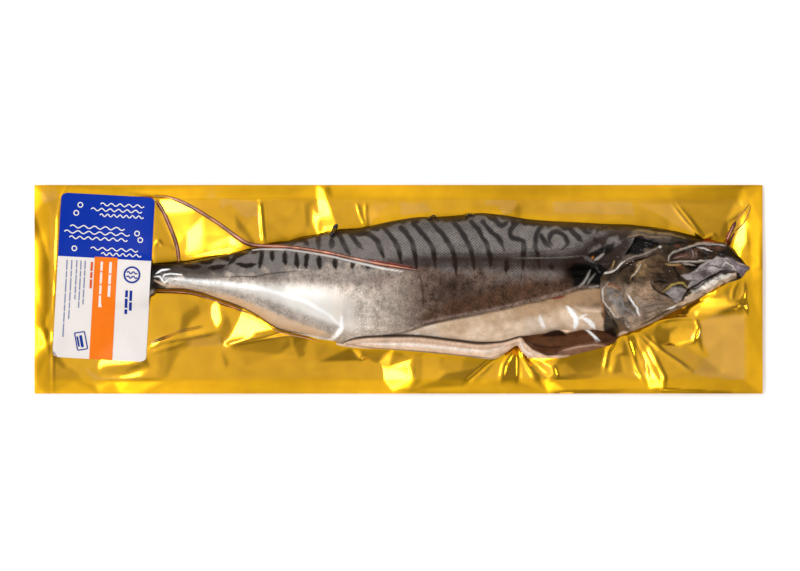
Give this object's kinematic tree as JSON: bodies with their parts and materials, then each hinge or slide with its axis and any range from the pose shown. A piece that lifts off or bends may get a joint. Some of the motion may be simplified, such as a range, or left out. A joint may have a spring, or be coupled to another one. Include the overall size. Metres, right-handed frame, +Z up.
{
  "type": "vacuum-packed salted mackerel",
  "caption": "Whole salted mackerel in a long vacuum pouch with a gold back, a clear front drawn tight on the fish and a paper label over the tail.",
  "frame": {"origin": "on the floor under the middle of the pouch", "axes": "+X along the pouch towards the fish's head, +Y towards the fish's back, +Z up from the gold side to the clear side"},
  "size_m": [0.4, 0.1146, 0.0372],
  "materials": {
    "mackerel_under_film": "glossy clear film drawn tight on fish skin",
    "gold_laminate": "metallised gold laminate, creased",
    "label_paper": "coated paper, semi-gloss"
  },
  "bodies": {
    "root": {"clear_bag_with_mackerel": "mackerel_under_film", "gold_back_web": "gold_laminate", "label": "label_paper"}
  },
  "joints": []
}
